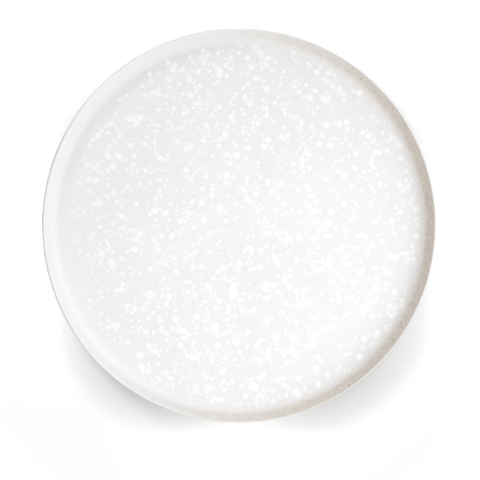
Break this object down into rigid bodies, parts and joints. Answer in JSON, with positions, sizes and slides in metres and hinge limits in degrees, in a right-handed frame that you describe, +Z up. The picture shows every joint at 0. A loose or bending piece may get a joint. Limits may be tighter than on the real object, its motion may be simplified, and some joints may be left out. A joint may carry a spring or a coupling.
{
  "type": "charger plate",
  "caption": "Round stoneware charger plate with a flat speckled well, a low flared wall that thins to a slim rounded lip, and a bare turned foot ring.",
  "frame": {"origin": "on the plate's axis, at the table that its foot ring stands on", "axes": "+Z up along the plate's axis; the plate is round, so +X and +Y are any two level directions"},
  "size_m": [0.32, 0.32, 0.025],
  "materials": {
    "clay": "bare fired stoneware, matt and fine-grained",
    "face_glaze": "satin off-white glaze with a spatter of white drops",
    "back_glaze": "satin off-white glaze with a few fine iron specks"
  },
  "bodies": {
    "root": {"clay_body": "clay", "face_glaze": "face_glaze", "back_glaze": "back_glaze", "foot_well_glaze": "back_glaze"}
  },
  "joints": []
}
